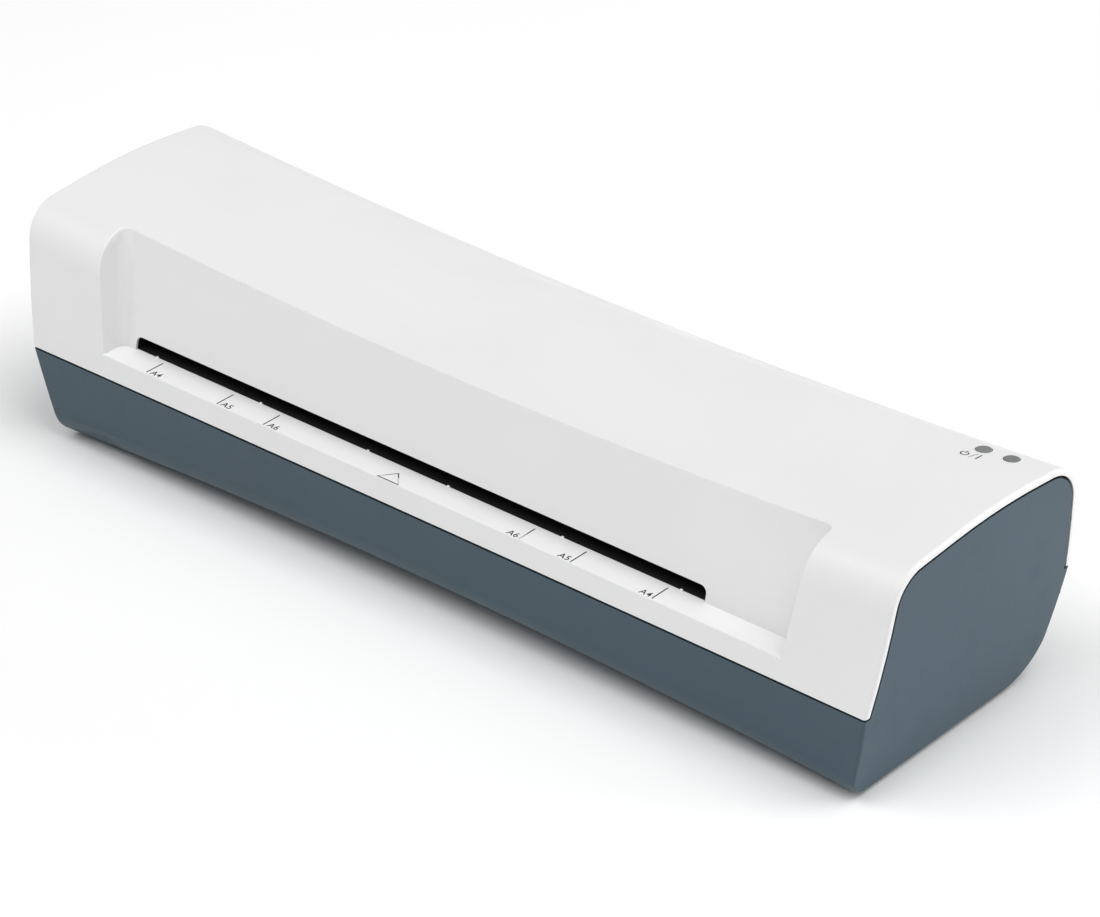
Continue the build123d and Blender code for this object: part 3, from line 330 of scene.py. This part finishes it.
def circuit_board(name, colour):
    """A printed board: green mask, copper tracks and tinned pads on a grid, fibre edges."""
    paint = Paint(name, IOR=1.55, Coat_Weight=0.35, Coat_Roughness=0.15)
    spot = paint.place()
    first = paint.along(spot, 0)
    second = paint.along(spot, 1)
    pitch = 2.54 * MM
    near = ((first.wrapped(pitch) - pitch / 2) ** 2 + (second.wrapped(pitch) - pitch / 2) ** 2) ** 0.5
    chosen = paint.along(paint.cells(spot, pitch * 2, output="Color"), 0)
    pad = (1 - near.between(0.5 * MM, 0.6 * MM)) * chosen.above(0.6)
    bend = paint.noise(spot, 9 * MM, 0.0) * (6 * MM)
    lane = (second + bend).wrapped(3.2 * MM)
    track = lane.below(0.7 * MM) * chosen.above(0.25)
    weave = paint.noise(spot, 0.5 * MM, 2.0)
    body = paint.mix(weave.between(0.3, 0.7), shade(colour, 0.85), shade(colour, 1.15))
    body = paint.mix(track * 0.7, body, (colour[0] * 2.5, colour[1] * 1.9, colour[2] * 1.6))
    body = paint.mix(pad, body, (0.6, 0.58, 0.53))
    body = paint.mix(paint.edges(0.4 * MM) * 0.5, body, (0.3, 0.29, 0.16))
    rough = 0.35 + weave * 0.12 - pad * 0.05
    height = track * 0.5 + pad * 0.5
    return paint.set(Base_Color=body, Roughness=rough.held(), Metallic=pad * 0.9,
                     Normal=paint.bump(height, 0.04 * MM))


def glazed(name, colour):
    """Pressed white insulator: a chalky body, tiny dark pores and browned corners."""
    paint = Paint(name, IOR=1.5)
    spot = paint.place()
    pores = paint.cells(spot, 0.6 * MM).between(0.05, 0.2)
    brown = paint.noise(spot, 5 * MM, 3.0, 0.6).between(0.5, 0.8)
    edge = paint.edges(0.5 * MM)
    body = paint.mix(brown * 0.4, colour, (colour[0] * 0.85, colour[1] * 0.74, colour[2] * 0.55))
    body = paint.mix((1 - pores) * 0.5, body, shade(colour, 0.45))
    body = paint.mix(edge * 0.3, body, shade(colour, 1.1))
    rough = 0.5 + brown * 0.2
    return paint.set(Base_Color=body, Roughness=rough.held(), Normal=paint.bump(pores, 0.03 * MM))


def drawn_can(name, colour):
    """A motor's drawn steel can: draw lines along X, dull zinc and a few brown spots."""
    paint = Paint(name, IOR=2.0, Metallic=0.9)
    spot = paint.place()
    drawn = paint.noise(paint.place(stretch=(0.05, 1, 1)), 0.6 * MM, 3.0, 0.7)
    spots = paint.noise(spot, 3 * MM, 4.0, 0.6).between(0.62, 0.72)
    edge = paint.edges(0.6 * MM)
    body = paint.mix(drawn.between(0.3, 0.7), shade(colour, 0.8), shade(colour, 1.15))
    body = paint.mix(spots * 0.5, body, (0.2, 0.12, 0.06))
    body = paint.mix(edge * 0.5, body, shade(colour, 1.5))
    rough = 0.36 + drawn * 0.15 + spots * 0.3
    return paint.set(Base_Color=body, Roughness=rough.held(), Normal=paint.bump(drawn, 0.01 * MM))


def smoked_lens(name, colour, through):
    """A moulded light guide: smoked plastic that lets a little light in, with fine scuffs."""
    paint = Paint(name, IOR=1.49, Transmission_Weight=through, Coat_Weight=0.4, Coat_Roughness=0.1)
    spot = paint.place()
    haze = paint.noise(spot, 1.5 * MM, 3.0, 0.6)
    scuffs = paint.noise(paint.place(stretch=(1, 9, 1), turn=(0, 0, 0.5)), 0.4 * MM, 2.0).between(0.62, 0.7)
    edge = paint.edges(0.3 * MM)
    body = paint.mix(haze.between(0.3, 0.7), shade(colour, 0.9), shade(colour, 1.1))
    body = paint.mix(scuffs * 0.3, body, shade(colour, 1.5))
    body = paint.mix(edge * 0.25, body, shade(colour, 1.35))
    rough = 0.28 + haze * 0.1 + scuffs * 0.2
    return paint.set(Base_Color=body, Roughness=rough.held(), Normal=paint.bump(haze + scuffs, 0.01 * MM))


def print_ink(name, colour):
    """Pad-printed ink: a thin satin film with a slightly uneven edge-to-edge cover."""
    paint = Paint(name, IOR=1.45)
    spot = paint.place()
    thin = paint.noise(spot, 0.35 * MM, 3.0, 0.7).between(0.45, 0.8)
    cloud = paint.noise(spot, 2 * MM, 2.0)
    body = paint.mix(thin * 0.35, colour, shade(colour, 3.0))
    body = paint.mix(cloud * 0.3, body, shade(colour, 1.8))
    rough = 0.45 + thin * 0.2
    return paint.set(Base_Color=body, Roughness=rough.held(), Normal=paint.bump(thin, 0.004 * MM))


def studio_floor(name, colour):
    """A pale matt sweep with a very faint unevenness."""
    paint = Paint(name, IOR=1.3)
    spot = paint.place()
    cloud = paint.noise(spot, 0.35, 3.0, 0.5)
    tooth = paint.noise(spot, 0.7 * MM, 2.0, 0.6)
    body = paint.mix(cloud.between(0.3, 0.7), shade(colour, 0.985), colour)
    rough = 0.75 + tooth * 0.1
    return paint.set(Base_Color=body, Roughness=rough.held(), Normal=paint.bump(tooth, 0.01 * MM))


finishes = {
    "cover_white": moulded("cover_white", (0.79, 0.795, 0.79), 0.30 * MM, 0.006 * MM, 0.40, 0.012,
                           0.25, 0.95),
    "base_grey": moulded("base_grey", (0.035, 0.068, 0.093), 0.40 * MM, 0.022 * MM, 0.46, 0.05,
                         0.10, 0.95),
    "guide_black": moulded("guide_black", (0.010, 0.010, 0.011), 0.30 * MM, 0.02 * MM, 0.55, 0.08, 0.05),
    "button_grey": moulded("button_grey", (0.205, 0.215, 0.212), 0.20 * MM, 0.010 * MM, 0.40, 0.05, 0.25),
    "lamp_grey": smoked_lens("lamp_grey", (0.21, 0.215, 0.215), 0.15),
    "frame_steel": galvanised("frame_steel", (0.50, 0.51, 0.53), (1, 1, 0.06)),
    "shaft_steel": turned("shaft_steel", (0.58, 0.58, 0.59)),
    "screw_steel": plated("screw_steel", (0.52, 0.53, 0.55)),
    "roller_silicone": silicone("roller_silicone", (0.42, 0.10, 0.06)),
    "foot_rubber": soft_rubber("foot_rubber", (0.018, 0.018, 0.019)),
    "gear_nylon": moulded("gear_nylon", (0.72, 0.70, 0.62), 0.25 * MM, 0.008 * MM, 0.38, 0.06, 0.3,
                          tint=(1.0, 0.93, 0.8)),
    "bush_polymer": moulded("bush_polymer", (0.085, 0.085, 0.088), 0.30 * MM, 0.02 * MM, 0.48, 0.08, 0.2),
    "heater_aluminium": extruded("heater_aluminium", (0.68, 0.68, 0.69)),
    "element_mica": etched_foil("element_mica", (0.46, 0.33, 0.16)),
    "holder_phenolic": moulded("holder_phenolic", (0.10, 0.052, 0.030), 0.60 * MM, 0.02 * MM, 0.40, 0.15,
                               0.3, tint=(1.1, 1.0, 0.9)),
    "fuse_ceramic": glazed("fuse_ceramic", (0.72, 0.71, 0.67)),
    "motor_case": drawn_can("motor_case", (0.42, 0.42, 0.43)),
    "board_green": circuit_board("board_green", (0.022, 0.14, 0.055)),
    "part_black": moulded("part_black", (0.028, 0.028, 0.032), 0.35 * MM, 0.015 * MM, 0.40, 0.12, 0.2),
    "led_clear": smoked_lens("led_clear", (0.55, 0.72, 0.55), 0.5),
}
for entry in frame["record"]["subparts"]:
    node = nodes[entry["node"]]
    node.data.materials.clear()
    node.data.materials.append(finishes[entry["material_slot"]])


# ---- Printed marks ----
ink_thick = 0.02 * MM


def deselect():
    if bpy.context.mode != "OBJECT":
        bpy.ops.object.mode_set(mode="OBJECT")
    bpy.ops.object.select_all(action="DESELECT")


def settle():
    """Puts the active object's place, turn and scale into its mesh."""
    bpy.ops.object.transform_apply(location=True, rotation=True, scale=True)
    return bpy.context.object


def printed_bar(start, end, width, height):
    """A flat bar of ink from start to end, with rounded corners, at a height above the cover."""
    start, end = Vector(start), Vector(end)
    middle = (start + end) / 2
    way = end - start
    deselect()
    bpy.ops.mesh.primitive_plane_add(size=1, location=(middle.x, middle.y, height),
                                     rotation=(0, 0, math.atan2(way.y, way.x)))
    bar = bpy.context.object
    bar.scale = (way.length, width, 1)
    settle()
    bpy.ops.object.mode_set(mode="EDIT")
    bpy.ops.mesh.select_all(action="SELECT")
    bpy.ops.mesh.bevel(offset=width * 0.4, segments=3, affect="VERTICES")
    bpy.ops.object.mode_set(mode="OBJECT")
    return bar


def printed_ring(centre, radius, width, height, gap):
    """A flat ring of ink, open at the top by gap radians."""
    deselect()
    bpy.ops.mesh.primitive_circle_add(vertices=72, radius=radius, fill_type="NGON",
                                      location=(centre[0], centre[1], height))
    ring = settle()
    bpy.ops.object.mode_set(mode="EDIT")
    bpy.ops.mesh.select_all(action="SELECT")
    bpy.ops.mesh.inset(thickness=width, depth=0)
    bpy.ops.object.mode_set(mode="OBJECT")
    for face in ring.data.polygons:
        way = face.center - Vector((*centre, height))
        face.select = len(face.vertices) > 4 or abs(math.atan2(way.x, way.y)) < gap / 2
    bpy.ops.object.mode_set(mode="EDIT")
    bpy.ops.mesh.delete(type="FACE")
    bpy.ops.object.mode_set(mode="OBJECT")
    return ring


def printed_arrow(corners, width, height):
    """The outline of a triangle of ink through three corners."""
    deselect()
    bpy.ops.mesh.primitive_circle_add(vertices=3, radius=1, fill_type="NGON", location=(0, 0, 0))
    arrow = bpy.context.object
    for vertex, corner in zip(arrow.data.vertices, corners):
        vertex.co = (*corner, height)
    bpy.ops.object.mode_set(mode="EDIT")
    bpy.ops.mesh.select_all(action="SELECT")
    bpy.ops.mesh.inset(thickness=width, depth=0)
    bpy.ops.mesh.delete(type="FACE")
    bpy.ops.object.mode_set(mode="OBJECT")
    return arrow


def printed_size(words, corner, size, height):
    """A paper size in bold letters, its lower left corner at corner."""
    deselect()
    bpy.ops.object.text_add(location=(corner[0], corner[1], height))
    label = bpy.context.object
    label.data.body = words
    label.data.size = size
    label.data.offset = size * 0.008
    label.data.extrude = ink_thick / 2
    label.data.space_character = 1.06
    label.data.resolution_u = 6
    bpy.ops.object.convert(target="MESH")
    return settle()


def join(name, parts):
    """Makes one named piece of the parts."""
    deselect()
    for part in parts:
        part.select_set(True)
    bpy.context.view_layer.objects.active = parts[0]
    if len(parts) > 1:
        bpy.ops.object.join()
    whole = bpy.context.object
    whole.name = whole.data.name = name
    return whole


def fix(piece, kind, **settings):
    """Adds one modifier and applies it."""
    deselect()
    piece.select_set(True)
    bpy.context.view_layer.objects.active = piece
    modifier = piece.modifiers.new(kind.title(), kind)
    for name, value in settings.items():
        setattr(modifier, name, value)
    bpy.ops.object.modifier_apply(modifier=modifier.name)


def cover_height(x, y):
    """The height of the cover's outer skin at x, y."""
    spot = nodes["top_cover"].ray_cast((x, y, above), (0, 0, -1))[1]
    return spot.z


def lay_on_cover(mark):
    """Drops a flat mark on the cover below it and gives it the ink's thickness."""
    fix(mark, "SHRINKWRAP", target=nodes["top_cover"], wrap_method="PROJECT", use_project_z=True,
        use_negative_direction=True, use_positive_direction=False, offset=0.6 * ink_thick)
    fix(mark, "SOLIDIFY", thickness=ink_thick, offset=1.0)
    return mark


def print_on_cover(mark, ink):
    """Inks a finished mark and lets it ride the chassis."""
    mark.data.materials.clear()
    mark.data.materials.append(ink)
    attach(mark, "chassis")
    return mark


ink = print_ink("print_ink", (0.009, 0.009, 0.010))
grey_ink = print_ink("grey_ink", (0.022, 0.023, 0.025))
slot_box = next(o for o in frame["record"]["physics"]["openings"] if o["name"] == "entry_slot")["box_m"]
path_x = (slot_box[0][0] + slot_box[1][0]) / 2
above = cad_high.z + 5 * MM
mark_rear = -42.4 * MM
mark_front = -50.5 * MM
tick_width = 0.46 * MM
label_size = 3.75 * MM
label_lift = 0.015 * MM
label_after_tick = 1.35 * MM
label_before_tick = 5.6 * MM
stroke = 0.42 * MM

# half the width of each paper size the shelf is marked for
widths = {"A4": 110.0, "A5": 77.0, "A6": 55.7}
ticks = []
labels = []
for words, half in widths.items():
    for side in (-1, 1):
        x = path_x + side * half * MM
        ticks.append(printed_bar((x, mark_front), (x, mark_rear), tick_width, above))
        start = x + label_after_tick if side < 0 else x - label_before_tick
        shelf = cover_height(start, mark_front + 2 * MM)
        corner = (start, mark_front + 0.1 * MM)
        labels.append(printed_size(words, corner, label_size, shelf + label_lift))
print_on_cover(lay_on_cover(join("width_ticks", ticks)), ink)
print_on_cover(join("size_labels", labels), ink)

arrow_corners = [(path_x - 5.2 * MM, mark_front), (path_x + 4.8 * MM, mark_front),
                 (path_x - 0.4 * MM, mark_front + 5.8 * MM)]
arrow = printed_arrow(arrow_corners, 0.36 * MM, above)
print_on_cover(lay_on_cover(join("feed_arrow", [arrow])), ink)

button_low, button_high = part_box("power_button")
button = (button_low + button_high) / 2
ring_x = button.x - 2.95 * MM
ring_y = button.y - 6.0 * MM
bar_front = button.y - 7.5 * MM
bar_rear = button.y - 3.8 * MM
standby = [
    printed_ring((ring_x, ring_y), 1.5 * MM, stroke, above, 1.15),
    printed_bar((ring_x, ring_y + 0.2 * MM), (ring_x, ring_y + 2.0 * MM), stroke, above),
    printed_bar((button.x - 0.5 * MM, bar_front), (button.x + 0.6 * MM, bar_rear), 0.24 * MM, above),
    printed_bar((button.x + 2.0 * MM, bar_front), (button.x + 2.0 * MM, bar_rear), 0.48 * MM, above),
]
print_on_cover(lay_on_cover(join("standby_symbol", standby)), grey_ink)


# ---- Studio ----

deselect()
bpy.ops.mesh.primitive_plane_add(size=8, location=(0, 0, cad_low.z - 0.02 * MM))
floor = settle()
floor.name = floor.data.name = "studio_floor"
floor.data.materials.append(studio_floor("studio_floor", (0.97, 0.97, 0.97)))

world = bpy.data.worlds.new("soft_room")
world.use_nodes = True
world.node_tree.nodes["Background"].inputs["Color"].default_value = (1.0, 1.0, 1.0, 1.0)
world.node_tree.nodes["Background"].inputs["Strength"].default_value = 0.31
bpy.context.scene.world = world
bpy.context.scene.view_settings.view_transform = "Standard"
bpy.context.scene.view_settings.look = "None"


def softbox(name, place, aim, width, depth, power):
    """A soft rectangular light at place, turned towards aim. Its power is in watts."""
    lamp = bpy.data.lights.new(name, "AREA")
    lamp.shape = "RECTANGLE"
    lamp.size = width
    lamp.size_y = depth
    lamp.energy = power
    made = bpy.data.objects.new(name, lamp)
    bpy.context.scene.collection.objects.link(made)
    made.location = place
    made.rotation_euler = (Vector(aim) - Vector(place)).to_track_quat("-Z", "Y").to_euler()


softbox("key_light", (-0.77, -1.96, 3.15), (0, 0, 0.05), 2.7, 2.0, 57)
softbox("side_light", (1.7, 1.8, 0.55), (0.1, 0, 0.05), 1.8, 0.8, 32)
softbox("top_light", (1.36, -0.12, 3.4), (0, 0, 0.05), 2.4, 2.4, 65)

eye = (0.82422, -0.95480, 0.77640)
turn = math.radians(40.45)
rise = math.radians(30.42)
right = Vector((math.cos(turn), math.sin(turn), 0))
ahead = Vector((-math.sin(turn) * math.cos(rise), math.cos(turn) * math.cos(rise), -math.sin(rise)))
lens = bpy.data.cameras.new("camera")
lens.sensor_width = 36.0
lens.lens = 145.33
lens.clip_start = 0.01
lens.clip_end = 50.0
camera = bpy.data.objects.new("camera", lens)
bpy.context.scene.collection.objects.link(camera)
camera.matrix_world = Matrix.Translation(eye) @ Matrix(
    (right, right.cross(ahead), -ahead)).transposed().to_4x4()
bpy.context.scene.camera = camera
